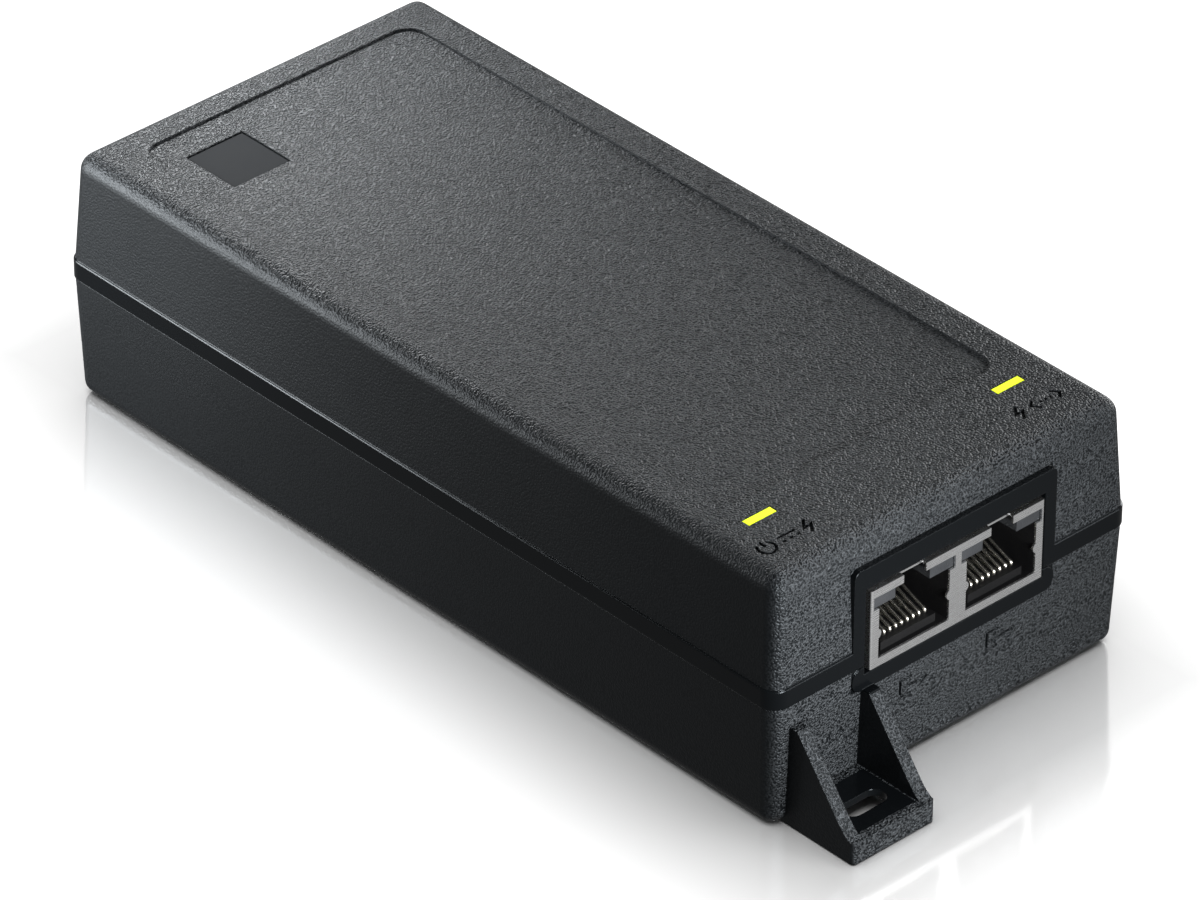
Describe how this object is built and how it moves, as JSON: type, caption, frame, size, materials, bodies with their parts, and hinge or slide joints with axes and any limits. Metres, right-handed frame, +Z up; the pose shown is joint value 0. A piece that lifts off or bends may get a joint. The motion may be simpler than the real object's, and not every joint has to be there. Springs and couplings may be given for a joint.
{
  "type": "poe injector",
  "caption": "Desktop Power-over-Ethernet injector: drafted two-part case, shielded double network jack, mains inlet, light pipes and screw-down ears.",
  "frame": {"origin": "middle of the underside, where the case rests on a surface", "axes": "+Z up, +Y along the length towards the mains inlet, so the network jack faces -Y; +X to the right seen from the network jack"},
  "size_m": [0.0628, 0.158, 0.0374],
  "materials": {
    "case_plastic": "fine spark-eroded grain",
    "badge_plastic": "smooth satin",
    "light_pipe": "clear tinted, polished",
    "shield_steel": "bright tin plate",
    "black_moulding": "smooth moulded",
    "contact_plating": "bright pale plating",
    "lamp_window": "dark grey, cloudy",
    "circuit_board": "solder mask",
    "screw_steel": "zinc plated",
    "blade_metal": "nickel plated",
    "yellow_case": "moulded",
    "blue_coating": "dipped epoxy",
    "capacitor_sleeve": "shrink sleeve",
    "ferrite": "sintered ferrite",
    "enamelled_wire": "copper wire, enamelled",
    "yellow_tape": "polyester tape",
    "aluminium": "extruded",
    "insulating_pad": "silicone",
    "lamp_chip": "lamp body",
    "chip_ceramic": "ceramic",
    "insulation_paper": "pressboard",
    "label_film": "printed film, left blank"
  },
  "bodies": {
    "root": {"badge_plate": "badge_plastic", "board_screws": "screw_steel", "bottom_case": "case_plastic", "bridge_rectifier": "black_moulding", "bulk_capacitor": "capacitor_sleeve", "case_screws": "screw_steel", "choke_core": "ferrite", "choke_windings": "enamelled_wire", "heatsink_screws": "screw_steel", "indicator_lamps": "lamp_chip", "inlet_blades": "blade_metal", "inlet_body": "black_moulding", "inrush_thermistor": "black_moulding", "insulating_pads": "insulating_pad", "insulation_sheet": "insulation_paper", "lan_transformers": "black_moulding", "link_headers": "black_moulding", "link_pins": "contact_plating", "mains_fuse": "black_moulding", "optocoupler": "black_moulding", "output_capacitors": "capacitor_sleeve", "output_heatsink": "aluminium", "output_inductor": "ferrite", "output_rectifier": "black_moulding", "poe_controller": "black_moulding", "poe_light_pipe": "light_pipe", "port_board": "circuit_board", "port_chip_parts": "chip_ceramic", "port_contacts": "contact_plating", "port_insert": "black_moulding", "port_lamp_windows": "lamp_window", "port_shield": "shield_steel", "power_board": "circuit_board", "power_chip_parts": "chip_ceramic", "power_light_pipe": "light_pipe", "primary_heatsink": "aluminium", "primary_switch": "black_moulding", "rating_label": "label_film", "switching_controller": "black_moulding", "top_cover": "case_plastic", "transformer_bobbin": "black_moulding", "transformer_core": "ferrite", "transformer_winding": "yellow_tape", "varistor": "blue_coating", "x_capacitor": "yellow_case", "y_capacitors": "blue_coating"}
  },
  "joints": []
}
